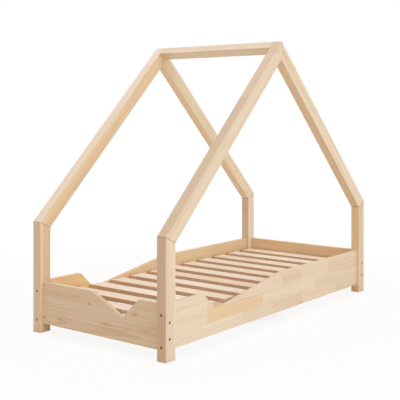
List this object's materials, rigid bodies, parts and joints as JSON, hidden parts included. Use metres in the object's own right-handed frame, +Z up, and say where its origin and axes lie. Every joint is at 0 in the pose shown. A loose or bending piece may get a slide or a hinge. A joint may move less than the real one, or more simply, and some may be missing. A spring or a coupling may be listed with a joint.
{
  "type": "house frame bed",
  "caption": "Low child's bed in solid pine: slatted base between notched panels, corner posts and a gabled roof frame with a ridge beam turned on edge.",
  "frame": {"origin": "on the floor, under the middle of the bed's footprint", "axes": "+X along the bed from the notched end to the plain end, +Y to the left side, +Z up"},
  "size_m": [1.67, 0.768, 1.3014],
  "materials": {
    "pine_frame": "planed, sanded pine timber with eased edges",
    "pine_panel": "sanded edge-glued pine board",
    "pine_slat": "planed pine slat",
    "pine_batten": "planed pine batten",
    "beech_dowel": "raw fluted beech",
    "zinc_steel": "zinc-plated steel",
    "screw_steel": "yellow-passivated steel"
  },
  "bodies": {
    "root": {"post_notched_right": "pine_frame", "post_notched_left": "pine_frame", "post_plain_right": "pine_frame", "post_plain_left": "pine_frame", "rafter_notched_right": "pine_frame", "rafter_notched_left": "pine_frame", "rafter_plain_right": "pine_frame", "rafter_plain_left": "pine_frame", "ridge_beam": "pine_frame", "side_panel_right": "pine_panel", "side_panel_left": "pine_panel", "end_panel_notched": "pine_panel", "end_panel_plain": "pine_panel", "slat_01": "pine_slat", "slat_02": "pine_slat", "slat_03": "pine_slat", "slat_04": "pine_slat", "slat_05": "pine_slat", "slat_06": "pine_slat", "slat_07": "pine_slat", "slat_08": "pine_slat", "slat_09": "pine_slat", "slat_10": "pine_slat", "slat_11": "pine_slat", "slat_12": "pine_slat", "slat_batten_right": "pine_batten", "slat_batten_left": "pine_batten", "panel_dowels": "beech_dowel", "shoulder_dowels": "beech_dowel", "apex_dowels": "beech_dowel", "ridge_dowels": "beech_dowel", "side_panel_bolts": "zinc_steel", "end_panel_bolts": "zinc_steel", "threaded_inserts": "zinc_steel", "barrel_nuts": "zinc_steel", "slat_screws": "screw_steel", "batten_screws": "screw_steel"}
  },
  "joints": []
}
